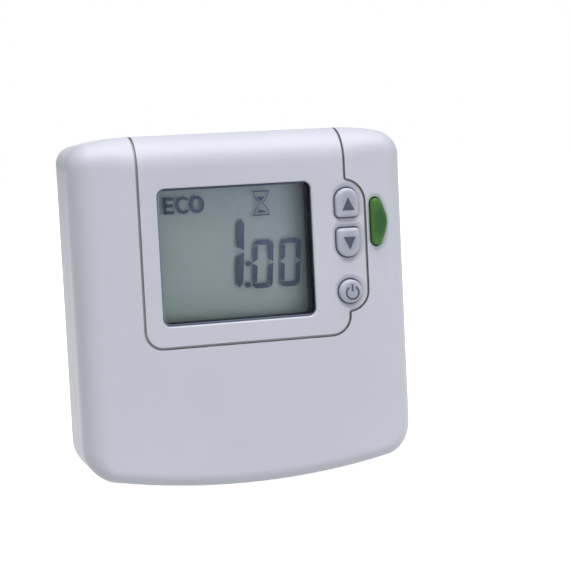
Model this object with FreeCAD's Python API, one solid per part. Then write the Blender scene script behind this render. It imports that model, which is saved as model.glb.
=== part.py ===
import FreeCAD, Part
import math
import os
from FreeCAD import Vector

# Battery-powered wall timer for a heating system: a 90 mm wide room unit that clips onto a wall plate.
# Millimetres. +X is to the reader's right, +Y points into the wall, +Z is up.
# The origin is the centre of the wall plate's back face, so the wall is the plane Y = 0.

# Body
HALF_WIDTH = 45.0
TOP = 46.0
BOTTOM = -46.7
FRONT = -26.0
PART_LINE = -14.0
CASE_BACK = -3.5
WALL = 2.0
FLAT_TOP_HALF = 28.0  # the top edge is straight between these, then falls away
SHOULDER_R = 52.0
COVER_CORNER_R = 7.0
CASE_CORNER_R = 4.6
BOTTOM_CORNER_R = 9.5
BOTTOM_EDGE_R = 193.3

# Rounds along the front edge, which change size as they go round the body
TOP_ROUND = 9.0
SIDE_ROUND = 6.5
BOTTOM_ROUND = 3.5
SMALLEST_ROUND = 0.4

# Seam between the outer cover and the display bezel
SEAM_X = 27.82
SEAM_BOTTOM = -9.0
SEAM_GAP = 0.72
SEAM_LEFT_R = 4.7
SEAM_RIGHT_R = 5.1
POD_RIGHT = 33.16
POD_BOTTOM = -2.8
POD_LOW_R = 5.2
POD_LOW_CENTRE_Z = 2.4
POD_HIGH_R = 6.02
POD_HIGH_CENTRE_Z = 26.1
POD_NECK_R = 0.85
DUST_LIP_DEPTH = 0.85  # the groove's floor is a lip on the bezel, this far below the skin
DUST_LIP_GAP = 0.12
LEDGE_REACH = 0.8  # the bezel's ledge reaches this far under the cover
LEDGE_ROOT = 0.9
LEDGE_DEPTH = 2.25  # inset of the ledge's outer skin
LIP_INNER = 3.45

# Joint between the two halves of the case
PART_GAP = 0.12
PART_BEVEL = 0.15
LIP_ROOT = (-12.4, -13.8)
LIP_TONGUE = (-13.7, -15.4)
LIP_CLEAR = 1.8

# Window
WINDOW = (-22.98, 18.50, -3.42, 32.25)
WINDOW_R = 2.1
WINDOW_CHAMFER = 0.28
LENS_FRONT = -25.35
LENS_BACK = -24.1
LENS_FIT = 0.1
LENS_CHAMFER = 0.5
LENS_BOND = 0.05
SURROUND_LEDGE = 0.5  # the lens is bonded to this much of the tunnel's front end
SURROUND_BACK = -20.6
SURROUND_FLANGE = (-23.95, -22.9)
SURROUND_FLANGE_REACH = 1.6

# Display stack, front to back
FILM_BOND = 0.03
POLARISER_FRONT = -20.5
GLASS_FRONT = -20.3
CRYSTAL_LAYER = (-19.32, -19.28)
GLASS_BACK = -18.3
REFLECTOR_BACK = -18.1
GUIDE_FRONT = -18.05
GUIDE_BACK = -15.9
GLASS = (-25.2, 20.8, -6.2, 36.0)
GLASS_STEP = 2.2  # the rear plate's contact edges stand out this far
LIGHT_GUIDE = (-21.8, 20.2, -3.6, 33.1)
LED_X = (-23.3, -22.1)
LED_Z = (6.0, 23.5)
LED_FRONT = -17.4
HOLDER = (-26.6, 22.2, -7.7, 37.4)
HOLDER_FRONT = -20.55
STRIP_X = (-22.0, 18.0)
STRIP_Z = (-5.0, 34.8)
STRIP_HALF = 0.8

# Circuit board
BOARD_FRONT = -14.2
BOARD_BACK = -12.6
BOARD_HALF = 40.8
BOARD_TOP = 42.0
BOARD_BOTTOM = -8.2
BOARD_CORNER_R = 6.0

# Keys
KEY_TOP = -27.3
KEY_GAP = 0.4
KEY_ROUND = 0.95
KEY_X = 28.15
KEY_HALF = 3.05
KEY_CORNER_R = 1.0
UP_TOP, UP_BOTTOM = 29.8, 22.2
DOWN_TOP, DOWN_BOTTOM = 19.2, 11.65
POWER_CENTRE_Z = 2.4
POWER_R = 3.08
ECO_LEFT = 34.8
ECO_TIP = 39.2  # where its two slopes would meet if they were not rounded
ECO_CENTRE_Z = 20.5
ECO_SLOPE_R = 28.0
ECO_SLOPE_SHIFT = 6.1
ECO_TIP_R = 6.0
ECO_END_R = 1.35
ECO_TOP = -27.5
DISHES = {"up": (1.15, 0.6), "down": (1.15, 0.6), "power": (1.15, 0.6), "eco": (0.9, 0.25)}
FLANGE = (-23.7, -22.9)
FLANGE_REACH = {"up": 0.65, "down": 0.8, "power": 0.8, "eco": 0.7}
STEM_END = -16.6
STEM_R = 2.0
BARB_R = 2.5
BARB = (-20.35, -19.6)
KEY_CENTRES = {
    "up": (KEY_X, 25.6),
    "down": (KEY_X, 15.7),
    "power": (KEY_X, POWER_CENTRE_Z),
    "eco": (36.85, ECO_CENTRE_Z),
}

# Key guide and key mat
GUIDE_PLATE = (-21.9, -20.7)
GUIDE_AREA = (23.0, 40.6, -6.2, 35.0)
GUIDE_LEGS = ((24.5, -4.6), (24.5, 33.4), (33.0, -4.6), (33.0, 33.4))
GUIDE_LEG_R = 1.3
MAT_AREA = (23.4, 40.6, -2.2, 31.6)
MAT_T = 0.8
DOME_TOP = -15.9
DOME_R = (3.5, 2.2)
HOLLOW_R = (2.9, 1.7)
HOLLOW_DEPTH = 1.1
PILL_R = 1.4
PILL_T = 0.35
PAD_R = 2.2
PAD_T = 0.06

# Batteries: two AA cells lying one above the other
CELL_R = 7.1
CELL_BODY = 49.2
CELL_NUB = 1.0
CELL_NUB_R = 2.7
CELL_Y = -15.3
CELL_Z = (-17.6, -32.3)
CONTACT_X = 27.9
CONTACT_T = 0.4
CONTACT_FRONT = -19.5
COIL_WIRE_R = 0.35
COIL_WIDE_R = 4.4
COIL_NARROW_R = 2.7
COIL_TURNS = 3
COIL_STEPS = 8  # corners in each turn of the coil's path
COIL_CLEAR = 0.02

# Battery tray
TRAY = (-29.8, 29.8, -40.7, -9.3)
TRAY_ROOM = (-28.7, 28.7, -39.75, -10.2)
TRAY_FRONT = -20.0
TRAY_BACK = -7.15
TRAY_FLOOR = -7.95
EAR_T = (-9.2, -8.25)

# Wall plate and rear pocket
PLATE_WEB = 2.0
PLATE_RIM = 3.2
PLATE_RIM_T = 1.6
PLATE_INSET = 1.3
PLATE_BAND = 6.0  # half width of the cross that stays flat on the wall
PLATE_FIELD = 38.0
PLATE_RECESS = 0.6
LUG_X = 20.0
LUG_HALF = 4.0
LUG_Z = (31.7, 33.7)
LUG_FRONT = -4.9
RIB_Z = (-14.0, 14.0)
POCKET = (-36.0, 36.0, -34.0, 34.0)
POCKET_FLOOR = -5.2
PAD_FRONT = -7.0
WALL_HOLE_SPACING = 60.0
WALL_HOLE_R = 2.1
WALL_SLOT_LENGTH = 8.0

# Vents
VENT_COUNT = 9
VENT_PITCH = 5.6
VENT_HALF = 1.9
VENT_Y = (-11.2, -9.6)

# Screws
CASE_SCREWS = ((-37.5, 36.2), (37.5, 36.2), (-37.5, -4.8), (37.5, -4.8))
BEZEL_SCREWS = ((-24.0, 39.7), (24.0, 39.7))
TRAY_SCREWS = ((-33.6, -25.0), (33.6, -25.0))
SCREW_R = 1.0
SCREW_CLEAR = 0.2
HEAD_R = 1.9
HEAD_H = 1.5
CROSS_DEPTH = 0.8
PILOT_R = 1.05
POST_R = 2.6
BOSS_R = 2.0

THROUGH = 10.0  # how far a cutting tool runs past what it cuts

workspace = FreeCAD.newDocument("timer")


# ---------- small helpers ----------


def box(x0, x1, y0, y1, z0, z1):
    low = Vector(min(x0, x1), min(y0, y1), min(z0, z1))
    return Part.makeBox(abs(x1 - x0), abs(y1 - y0), abs(z1 - z0), low)


def rod(radius, x, z, y0, y1):
    """A cylinder along Y."""
    return Part.makeCylinder(radius, abs(y1 - y0), Vector(x, min(y0, y1), z), Vector(0, 1, 0))


def taper(r0, r1, x, z, y0, y1):
    """A cone along Y, radius r0 at y0 and r1 at y1."""
    if y1 < y0:
        return Part.makeCone(r0, r1, y0 - y1, Vector(x, y0, z), Vector(0, -1, 0))
    return Part.makeCone(r0, r1, y1 - y0, Vector(x, y0, z), Vector(0, 1, 0))


def upright_edges(shape):
    """The straight edges that run along Y."""
    return [e for e in shape.Edges if len(e.Vertexes) == 2 and is_along_y(e)]


def is_along_y(edge):
    a, b = edge.Vertexes[0].Point, edge.Vertexes[1].Point
    return math.hypot(a.x - b.x, a.z - b.z) < 1e-6 < abs(a.y - b.y)


def edges_at(shape, y):
    """The edges that lie in the plane Y = y."""
    return [e for e in shape.Edges if all(abs(v.Point.y - y) < 1e-5 for v in e.Vertexes)]


def corner_point(edge):
    """Where an edge along Y stands in the front view."""
    return edge.Vertexes[0].Point


def slab(area, y0, y1, radius=0.0, grow=0.0):
    """A plate along Y over an area (x0, x1, z0, z1), with round corners."""
    x0, x1, z0, z1 = area
    plate = box(x0 - grow, x1 + grow, y0, y1, z0 - grow, z1 + grow)
    return plate.makeFillet(radius, upright_edges(plate)) if radius > 0 else plate


def fuse(shapes):
    whole = shapes[0].multiFuse(shapes[1:]) if len(shapes) > 1 else shapes[0]
    return whole.removeSplitter()


def cut(shape, tools):
    for tool in tools:
        shape = shape.cut(tool)
    return shape


def group(shapes):
    return Part.makeCompound(shapes)


# ---------- body form ----------


def outline(inset, y, corner_r=COVER_CORNER_R):
    """The front view's outline, moved inwards by inset, in the plane Y = y."""
    half, top, low = HALF_WIDTH - inset, TOP - inset, BOTTOM + inset
    shoulder_r, corner_r = SHOULDER_R - inset, corner_r - inset
    base_corner_r, base_r = BOTTOM_CORNER_R - inset, BOTTOM_EDGE_R - inset

    shoulder_z = top - shoulder_r
    corner_x = half - corner_r
    corner_z = shoulder_z + math.sqrt((shoulder_r - corner_r) ** 2 - (corner_x - FLAT_TOP_HALF) ** 2)
    lean = math.atan2(corner_x - FLAT_TOP_HALF, corner_z - shoulder_z)

    base_z = low + base_r
    base_corner_x = half - base_corner_r
    base_corner_z = base_z - math.sqrt((base_r - base_corner_r) ** 2 - base_corner_x**2)
    drop = math.atan2(base_z - base_corner_z, base_corner_x)

    def arc(cx, cz, radius, first, last):
        """Three points on a circle, at angles from +Z towards +X."""
        angles = (first, (first + last) / 2, last)
        return [(cx + radius * math.sin(t), cz + radius * math.cos(t)) for t in angles]

    side_angle = math.pi / 2
    base_corner = arc(base_corner_x, base_corner_z, base_corner_r, side_angle, side_angle + drop)
    right = [
        arc(FLAT_TOP_HALF, shoulder_z, shoulder_r, 0, lean),
        arc(corner_x, corner_z, corner_r, lean, side_angle),
        [(half, corner_z), (half, base_corner_z)],
        base_corner,
    ]
    left = [[(-px, pz) for px, pz in stretch[::-1]] for stretch in right[::-1]]
    foot_x, foot_z = base_corner[2]
    top_edge = [(-FLAT_TOP_HALF, top), (FLAT_TOP_HALF, top)]
    base = [(foot_x, foot_z), (0, low), (-foot_x, foot_z)]

    edges = []
    for stretch in [top_edge] + right + [base] + left:
        points = [Vector(px, y, pz) for px, pz in stretch]
        curve = Part.Arc(*points) if len(points) == 3 else Part.LineSegment(*points)
        edges.append(curve.toShape())
    return Part.Wire(edges)


def outline_plate(inset, y0, y1, corner_r=COVER_CORNER_R):
    """A plate of the body's outline, moved inwards by inset, from y0 to y1."""
    return Part.Face(outline(inset, y0, corner_r)).extrude(Vector(0, y1 - y0, 0))


def front_round(point, inset):
    """The front edge's round at one of the outline's corners."""
    if point.z > 0 and abs(point.x) < FLAT_TOP_HALF + 0.1:
        radius = TOP_ROUND
    elif point.z > 0 or abs(point.x) > HALF_WIDTH - inset - 0.1:
        radius = SIDE_ROUND
    else:
        radius = BOTTOM_ROUND
    return max(radius - inset, SMALLEST_ROUND)


def cover_form(inset, back=PART_LINE):
    """The solid front half of the body, moved inwards by inset, with its rounded front edge."""
    front = FRONT + inset
    block = outline_plate(inset, back, front)
    base = workspace.addObject("Part::Feature", "block")
    base.Shape = block
    rounded = workspace.addObject("Part::Fillet", "rounded")
    rounded.Base = base
    rounds = []
    for number, edge in enumerate(block.Edges, start=1):
        if all(abs(v.Point.y - front) < 1e-6 for v in edge.Vertexes):
            first, last = edge.Vertexes[0].Point, edge.Vertexes[-1].Point
            rounds.append((number, front_round(first, inset), front_round(last, inset)))
    rounded.Edges = rounds
    workspace.recompute()
    return rounded.Shape.copy()


def form_layer(outer_inset, inner_inset):
    """The shell between two insets of the front form, open at the back."""
    return cover_form(outer_inset).cut(cover_form(inner_inset, PART_LINE + 1.0))


def seam_prism(grow):
    """The area inside the seam, moved outwards by grow, as a prism through the front and out of the top."""
    deep, near, high = FRONT + 16.0, FRONT - 5.0, TOP + THROUGH
    side, right = SEAM_X + grow, POD_RIGHT + grow
    floor, pod_floor = SEAM_BOTTOM - grow, POD_BOTTOM - grow
    pod_roof = POD_HIGH_CENTRE_Z + POD_HIGH_R + grow

    main = box(-side, side, near, deep, floor, high)
    for edge_x, radius in ((-side, SEAM_LEFT_R + grow), (side, SEAM_RIGHT_R + grow)):
        main = round_corners(main, radius, edge_x, floor)
    pod = box(KEY_X - KEY_HALF, right, near, deep, pod_floor, pod_roof)
    pod = round_corners(pod, POD_LOW_R + grow, right, pod_floor)
    pod = round_corners(pod, POD_HIGH_R + grow, right, pod_roof)
    joined = fuse([main, pod])
    neck_r = max(POD_NECK_R - grow, 0.2)
    for z in (pod_floor, pod_roof):
        joined = round_corners(joined, neck_r, side, z)
    return joined


def round_corners(shape, radius, x, z):
    """Rounds the edge along Y that stands at (x, z), within a few tenths."""
    near = [e for e in upright_edges(shape) if math.hypot(corner_point(e).x - x, corner_point(e).z - z) < 0.3]
    return shape.makeFillet(radius, near)


# ---------- keys ----------


def arrow_key_prism(top, bottom, dome_up, y0, y1, grow=0.0):
    """An arrow key's D-shaped body: one end is round, on the arrow's side, and the other has small corners."""
    half = KEY_HALF + grow
    block = box(KEY_X - half, KEY_X + half, y0, y1, bottom - grow, top + grow)
    middle = (top + bottom) / 2
    for at_top in (True, False):
        corners = [e for e in upright_edges(block) if (corner_point(e).z > middle) == at_top]
        radius = half - 0.01 if at_top == dome_up else KEY_CORNER_R + grow
        block = block.makeFillet(radius, corners)
    return block


def up_prism(y0, y1, grow=0.0):
    return arrow_key_prism(UP_TOP, UP_BOTTOM, True, y0, y1, grow)


def down_prism(y0, y1, grow=0.0):
    return arrow_key_prism(DOWN_TOP, DOWN_BOTTOM, False, y0, y1, grow)


def power_prism(y0, y1, grow=0.0):
    return rod(POWER_R + grow, KEY_X, POWER_CENTRE_Z, y0, y1)


def eco_prism(y0, y1, grow=0.0):
    """The long key's body: a flat left side, and on the right two slightly bowed slopes with a round tip."""
    radius = ECO_SLOPE_R + grow
    centre_x = ECO_TIP - math.sqrt(ECO_SLOPE_R**2 - ECO_SLOPE_SHIFT**2)
    left = ECO_LEFT - grow
    body = box(left, HALF_WIDTH, y0, y1, BOTTOM, TOP)
    for shift in (-ECO_SLOPE_SHIFT, ECO_SLOPE_SHIFT):
        near, far = min(y0, y1) - 1, max(y0, y1) + 1
        body = body.common(rod(radius, centre_x, ECO_CENTRE_Z + shift, near, far))
    tip = [e for e in upright_edges(body) if corner_point(e).x > left + 1]
    body = body.makeFillet(ECO_TIP_R + grow, tip)
    ends = [e for e in upright_edges(body) if abs(corner_point(e).x - left) < 1e-4]
    return body.makeFillet(ECO_END_R + grow, ends)


KEY_PRISMS = {"up": up_prism, "down": down_prism, "power": power_prism, "eco": eco_prism}


def key(name):
    """One key: a rounded cap, a flange behind the panel, and a stem with a barb behind the guide plate."""
    prism = KEY_PRISMS[name]
    top = ECO_TOP if name == "eco" else KEY_TOP
    x, z = KEY_CENTRES[name]
    cap = prism(top, FLANGE[1])
    cap = cap.makeFillet(KEY_ROUND, edges_at(cap, top))
    flange = prism(FLANGE[0], FLANGE[1], FLANGE_REACH[name])
    stem = rod(STEM_R, x, z, FLANGE[1], STEM_END)
    barb = taper(BARB_R, STEM_R + 0.05, x, z, BARB[0], BARB[1])
    return fuse([cap, flange, stem, barb])


def key_guide():
    """The plate that the key stems slide in, on four legs that stand on the circuit board."""
    plate = slab(GUIDE_AREA, GUIDE_PLATE[0], GUIDE_PLATE[1], 1.5)
    legs = [rod(GUIDE_LEG_R, x, z, GUIDE_PLATE[1], BOARD_FRONT) for x, z in GUIDE_LEGS]
    holes = [rod(STEM_R + 0.2, x, z, GUIDE_PLATE[0] - 1, GUIDE_PLATE[1] + 1) for x, z in KEY_CENTRES.values()]
    return cut(fuse([plate] + legs), holes)


def key_mat():
    """A silicone sheet with a hollow dome under each key."""
    face = BOARD_FRONT - MAT_T
    sheet = slab(MAT_AREA, face, BOARD_FRONT, 1.0)
    domes = [taper(*DOME_R, x, z, face, DOME_TOP) for x, z in KEY_CENTRES.values()]
    hollows = [
        taper(*HOLLOW_R, x, z, BOARD_FRONT, BOARD_FRONT - HOLLOW_DEPTH) for x, z in KEY_CENTRES.values()
    ]
    return cut(fuse([sheet] + domes), hollows)


def contact_pills():
    """Conductive discs under the domes."""
    face = BOARD_FRONT - HOLLOW_DEPTH
    return group([rod(PILL_R, x, z, face, face + PILL_T) for x, z in KEY_CENTRES.values()])


def contact_pads():
    """Gold pads on the board, one under each dome."""
    return group([rod(PAD_R, x, z, BOARD_FRONT, BOARD_FRONT - PAD_T) for x, z in KEY_CENTRES.values()])


# ---------- covers ----------


def display_bezel():
    """The centre piece: it carries the window and the three round-edged keys, and wraps over the top edge."""
    inside = seam_prism(-SEAM_GAP / 2)
    under = seam_prism(-LEDGE_ROOT)
    clear_of_lip = box(-HALF_WIDTH, HALF_WIDTH, FRONT, PART_LINE - LIP_CLEAR, BOTTOM, TOP)
    panel = form_layer(0.0, WALL).common(inside)
    neck = form_layer(WALL - 0.1, LIP_INNER).common(inside)
    ledge = form_layer(LEDGE_DEPTH, LIP_INNER).common(seam_prism(LEDGE_REACH))
    dust_lip = form_layer(DUST_LIP_DEPTH, LEDGE_DEPTH + 0.05).common(seam_prism(SEAM_GAP / 2 - DUST_LIP_GAP))
    edging = [part.cut(under).common(clear_of_lip) for part in (neck, ledge, dust_lip)]
    hollow = cover_form(WALL - 0.1)
    bosses = [rod(BOSS_R, x, z, BOARD_FRONT, FRONT).common(hollow) for x, z in BEZEL_SCREWS]
    body = fuse([panel] + edging + bosses)

    opening = slab(WINDOW, FRONT - 1, SURROUND_BACK, WINDOW_R)
    rim = chamfer_tool(WINDOW, WINDOW_R, WINDOW_CHAMFER)
    pilots = [rod(PILOT_R, x, z, BOARD_FRONT + 1, BOARD_FRONT - 5) for x, z in BEZEL_SCREWS]
    wells = [KEY_PRISMS[n](FRONT - 1, SURROUND_BACK, KEY_GAP) for n in ("up", "down", "power")]
    dishes = [dish(n) for n in ("up", "down", "power")]
    return cut(body, [opening, rim] + pilots + wells + dishes)


def chamfer_tool(area, radius, size):
    """A tapered plug that bevels the edge of a rectangular opening in the front face."""
    x0, x1, z0, z1 = area

    def ring(grow, y):
        return rounded_wire(x0 - grow, x1 + grow, z0 - grow, z1 + grow, radius + grow, y)

    return Part.makeLoft([ring(size + 0.1, FRONT - 0.1), ring(0.0, FRONT + size)], True, True)


def rounded_wire(x0, x1, z0, z1, radius, y):
    face = slab((x0, x1, z0, z1), y, y + 1.0, radius)
    return Part.Wire(Part.__sortEdges__(edges_at(face, y)))


def dish(name):
    """The shallow hollow round a key well: deepest at the well, and running out to the flat."""
    wide, deep = DISHES[name]
    spill = 0.1
    slope = wide / deep
    inner = KEY_PRISMS[name](FRONT - spill, FRONT + 1.0, KEY_GAP)
    outer = KEY_PRISMS[name](FRONT - spill, FRONT + 1.0, KEY_GAP + wide + spill * slope)
    ring_out = Part.Wire(Part.__sortEdges__(edges_at(outer, FRONT - spill)))
    ring_in = Part.Wire(Part.__sortEdges__(edges_at(inner, FRONT - spill)))
    ring_in.translate(Vector(0, spill + deep, 0))
    return Part.makeLoft([ring_out, ring_in], True, True)


def cover_tabs():
    """Prongs inside the cover that slide in behind the rear case's lip."""
    back = PART_LINE + 1.2
    places = [
        box(-HALF_WIDTH, -30, FRONT, back, -30, -22),
        box(30, HALF_WIDTH, FRONT, back, -30, -22),
        box(-12, -4, FRONT, back, BOTTOM, -30),
        box(4, 12, FRONT, back, BOTTOM, -30),
    ]
    prong_inset = LIP_INNER + 0.3
    prong_t = 1.0
    front_part = box(-HALF_WIDTH, HALF_WIDTH, FRONT, PART_LINE - 4, BOTTOM, TOP)
    root = form_layer(WALL - 0.1, prong_inset + prong_t).common(front_part)
    prong = form_layer(prong_inset, prong_inset + prong_t)
    solid = fuse([root, prong])
    cells_room = box(-38.6, 38.6, FRONT, 0, -39.5, TOP)
    return [solid.common(place).cut(cells_room) for place in places]


def front_cover():
    """The outer cover, open at the top centre where the bezel passes; it pulls off to change the cells."""
    shell = form_layer(0.0, WALL).cut(seam_prism(SEAM_GAP / 2))
    rib_front, rib_back = FRONT + WALL - 0.1, FRONT + WALL + 1.1
    ribs = [box(x - 0.5, x + 0.5, rib_front, rib_back, -40, -12) for x in (-20.0, 20.0)]
    body = fuse([shell] + ribs + cover_tabs())
    well = eco_prism(FRONT - 1, FLANGE[1], KEY_GAP)
    return cut(body, [well, dish("eco")])


def rear_case():
    """The shallow rear half: a shell with a lip, board posts, a rear pocket, vents and lug slots."""
    seam = PART_LINE + PART_GAP
    rings = [outline(PART_BEVEL, seam), outline(0, seam + PART_BEVEL), outline(0, CASE_BACK, CASE_CORNER_R)]
    outer = Part.makeLoft(rings, True, True)
    outer = outer.makeFillet(0.8, edges_at(outer, CASE_BACK))
    room = [outline(WALL, seam - 1), outline(WALL, CASE_BACK - 1.8, CASE_CORNER_R + 0.5)]
    inside = Part.makeLoft(room, True, True)
    pad = slab(POCKET, PAD_FRONT, CASE_BACK - 1.0, 5.0, grow=1.8)
    pocket = slab(POCKET, POCKET_FLOOR, CASE_BACK + 1.0, 4.0)

    lip = outline_plate(WALL - 0.1, *LIP_ROOT).fuse(outline_plate(LEDGE_DEPTH, *LIP_TONGUE))
    lip = lip.cut(outline_plate(LIP_INNER, LIP_ROOT[0] + 0.4, LIP_TONGUE[1] - 1.6))

    tray_post_front = EAR_T[1] + 0.05
    posts = [rod(POST_R, x, z, POCKET_FLOOR, BOARD_BACK) for x, z in CASE_SCREWS]
    tray_posts = [rod(POST_R, x, z, PAD_FRONT + 0.5, tray_post_front) for x, z in TRAY_SCREWS]
    pilots = [rod(PILOT_R, x, z, BOARD_BACK - 1, -7.5) for x, z in CASE_SCREWS]
    pilots += [rod(PILOT_R, x, z, tray_post_front - 1, -6.0) for x, z in TRAY_SCREWS]
    shell = fuse([outer.cut(inside), pad, lip] + posts + tray_posts)
    return cut(shell, [pocket] + pilots + vents())


def vents():
    """Slots through the top and bottom walls for room air."""
    slots = []
    for n in range(VENT_COUNT):
        x = VENT_PITCH * (n - (VENT_COUNT - 1) / 2)
        for z0, z1 in ((TOP - 6, TOP + 4), (BOTTOM - 3.3, BOTTOM + 4.7)):
            slots.append(slab((x - VENT_HALF, x + VENT_HALF, z0, z1), *VENT_Y))
    return slots


def wall_plate():
    """The plate that is screwed to the wall: a flat web with a rim, lugs for the case's pocket, and holes."""
    corner_r = CASE_CORNER_R + 0.6
    web = outline_plate(PLATE_INSET, 0.0, -PLATE_WEB, corner_r)
    rim = outline_plate(PLATE_INSET, 0.0, -PLATE_RIM, corner_r)
    rim = rim.cut(outline_plate(PLATE_INSET + PLATE_RIM_T, 1.0, -PLATE_RIM - 1, corner_r))
    root = 0.5 - PLATE_WEB
    lugs = []
    for x in (-LUG_X, LUG_X):
        for side in (-1, 1):
            lugs.append(box(x - LUG_HALF, x + LUG_HALF, LUG_FRONT, root, side * LUG_Z[0], side * LUG_Z[1]))
    ribs = [box(-28, 28, -PLATE_WEB - 1, root, z - 0.6, z + 0.6) for z in RIB_Z]
    body = fuse([web, rim] + lugs + ribs)
    hole = WALL_HOLE_SPACING / 2
    slots = [wall_slot(x) for x in (-hole, hole)]
    holes = [rod(WALL_HOLE_R, 0, z, -THROUGH, THROUGH) for z in (-hole, hole)]
    return cut(body, slots + holes + plate_recesses())


def plate_recesses():
    """Shallow fields in the plate's back, so that it bears on its edge and on the cross round the holes."""
    low, high = PLATE_BAND, PLATE_FIELD
    fields = []
    for sx in (-1, 1):
        for sz in (-1, 1):
            x0, x1 = sorted((sx * low, sx * high))
            z0, z1 = sorted((sz * low, sz * high))
            fields.append(slab((x0, x1, z0, z1), -PLATE_RECESS, 1.0, 3.0))
    return fields


def wall_slot(x):
    """A slot along X through the plate, centred on x."""
    half = WALL_SLOT_LENGTH / 2 - WALL_HOLE_R
    middle = box(x - half, x + half, -THROUGH, THROUGH, -WALL_HOLE_R, WALL_HOLE_R)
    ends = [rod(WALL_HOLE_R, x + side * half, 0, -THROUGH, THROUGH) for side in (-1, 1)]
    return fuse([middle] + ends)


# ---------- display ----------


def display_surround():
    """The black tunnel from the lens to the display, with a flange behind the bezel's panel."""
    collar = slab(WINDOW, LENS_BACK + LENS_BOND, SURROUND_BACK, WINDOW_R - LENS_FIT, grow=-LENS_FIT)
    flange = slab(WINDOW, *SURROUND_FLANGE, 3.0, grow=SURROUND_FLANGE_REACH)
    view = slab(WINDOW, FRONT, SURROUND_BACK + 1, WINDOW_R - SURROUND_LEDGE, grow=-LENS_FIT - SURROUND_LEDGE)
    return fuse([collar, flange]).cut(view)


def display_lens():
    """The clear window, bonded to the front end of the tunnel, with a broad bevel round its face."""
    lens = slab(WINDOW, LENS_FRONT, LENS_BACK, WINDOW_R - LENS_FIT, grow=-LENS_FIT)
    return lens.makeChamfer(LENS_CHAMFER, edges_at(lens, LENS_FRONT))


def display_cell():
    """Two glass plates; the rear one is longer so that its edges can carry the contacts."""
    x0, x1, z0, z1 = GLASS
    front_plate = slab((x0, x1, z0 + GLASS_STEP, z1 - GLASS_STEP), GLASS_FRONT, CRYSTAL_LAYER[0])
    rear_plate = slab(GLASS, CRYSTAL_LAYER[1], GLASS_BACK)
    inset = GLASS_STEP + 0.8
    seal = slab((x0 + 1, x1 - 1, z0 + inset, z1 - inset), CRYSTAL_LAYER[0] - 0.03, CRYSTAL_LAYER[1] + 0.03)
    return fuse([front_plate, seal, rear_plate])


def sheet_behind_window(y0, y1):
    """A film the size of the glass's front plate, less a small margin."""
    x0, x1, z0, z1 = GLASS
    return slab((x0 + 1.2, x1 - 1.2, z0 + GLASS_STEP + 0.8, z1 - GLASS_STEP - 0.8), y0, y1)


def light_guide():
    """The clear plate that spreads the light diodes' light, with a bevel along its lower back edge."""
    guide = slab(LIGHT_GUIDE, GUIDE_FRONT, GUIDE_BACK)
    lower = [e for e in edges_at(guide, GUIDE_BACK) if all(v.Point.z < 0 for v in e.Vertexes)]
    return guide.makeChamfer(0.6, lower)


def backlight_leds():
    return group([box(*LED_X, BOARD_FRONT, LED_FRONT, z - 1.5, z + 1.5) for z in LED_Z])


def display_holder():
    """The white frame that holds glass, light guide and contact strips against the board."""
    frame = slab(HOLDER, HOLDER_FRONT, BOARD_FRONT, 1.0)
    x0, x1, z0, z1 = LIGHT_GUIDE
    low, high = HOLDER_FRONT + 1.5, BOARD_FRONT + 1
    glass_room = slab(GLASS, HOLDER_FRONT - 1, REFLECTOR_BACK + 0.03, grow=0.15)
    guide_room = slab((LED_X[0] - 0.3, x1 + 0.2, z0 - 0.2, z1 + 0.2), low, high)
    strip_rooms = [
        slab((STRIP_X[0], STRIP_X[1], z - STRIP_HALF, z + STRIP_HALF), low, high, grow=0.1) for z in STRIP_Z
    ]
    return cut(frame, [glass_room, guide_room] + strip_rooms)


def contact_strips():
    """Conductive rubber strips that join the glass to the board."""
    return group([slab((*STRIP_X, z - STRIP_HALF, z + STRIP_HALF), GLASS_BACK, BOARD_FRONT) for z in STRIP_Z])


# ---------- electronics ----------


def circuit_board():
    """The main board, with round top corners and a hole for each case and bezel screw."""
    board = slab((-BOARD_HALF, BOARD_HALF, BOARD_BOTTOM, BOARD_TOP), BOARD_FRONT, BOARD_BACK)
    tops = [e for e in upright_edges(board) if corner_point(e).z > 0]
    board = board.makeFillet(BOARD_CORNER_R, tops)
    hole_r = SCREW_R + SCREW_CLEAR
    holes = [rod(hole_r, x, z, BOARD_FRONT - 1, BOARD_BACK + 1) for x, z in CASE_SCREWS + BEZEL_SCREWS]
    return cut(board, holes)


def microcontroller():
    """A square flat pack with leads on four sides, on the board's back."""
    x, z, half = -8.0, 16.0, 5.0
    lead_half, pitch, count = 0.15, 0.75, 12
    top = BOARD_BACK + 1.5
    body = slab((x - half, x + half, z - half, z + half), BOARD_BACK + 0.15, top)
    body = body.makeChamfer(0.25, edges_at(body, top))
    leads = []
    for n in range(count):
        step = (n - (count - 1) / 2) * pitch
        for side in (-1, 1):
            near, far = side * (half - 0.2), side * (half + 1.0)
            rows = ((x + near, x + far, z + step - lead_half, z + step + lead_half),)
            rows += ((x + step - lead_half, x + step + lead_half, z + near, z + far),)
            leads += [box(x0, x1, BOARD_BACK, BOARD_BACK + 0.5, z0, z1) for x0, x1, z0, z1 in rows]
    return fuse([body] + leads)


def radio_board():
    """A small radio module, standing off the board on its five pads."""
    stand_off, thick = 0.5, 0.8
    face = BOARD_BACK + stand_off
    board = slab((14, 34, 14, 32), face, face + thick)
    pads = [box(x - 0.6, x + 0.6, BOARD_BACK, face, 14.2, 16.0) for x in range(16, 33, 4)]
    return fuse([board] + pads)


def radio_shield():
    """The tinned can over the radio circuit, open towards its board."""
    base, top, sheet = BOARD_BACK + 1.3, BOARD_BACK + 3.4, 0.3
    area = (16.5, 31.5, 18.0, 30.5)
    can = slab(area, base, top, 0.8)
    can = can.makeFillet(0.4, edges_at(can, top))
    return can.cut(slab(area, base - sheet, top - sheet, 0.6, grow=-sheet))


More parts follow.
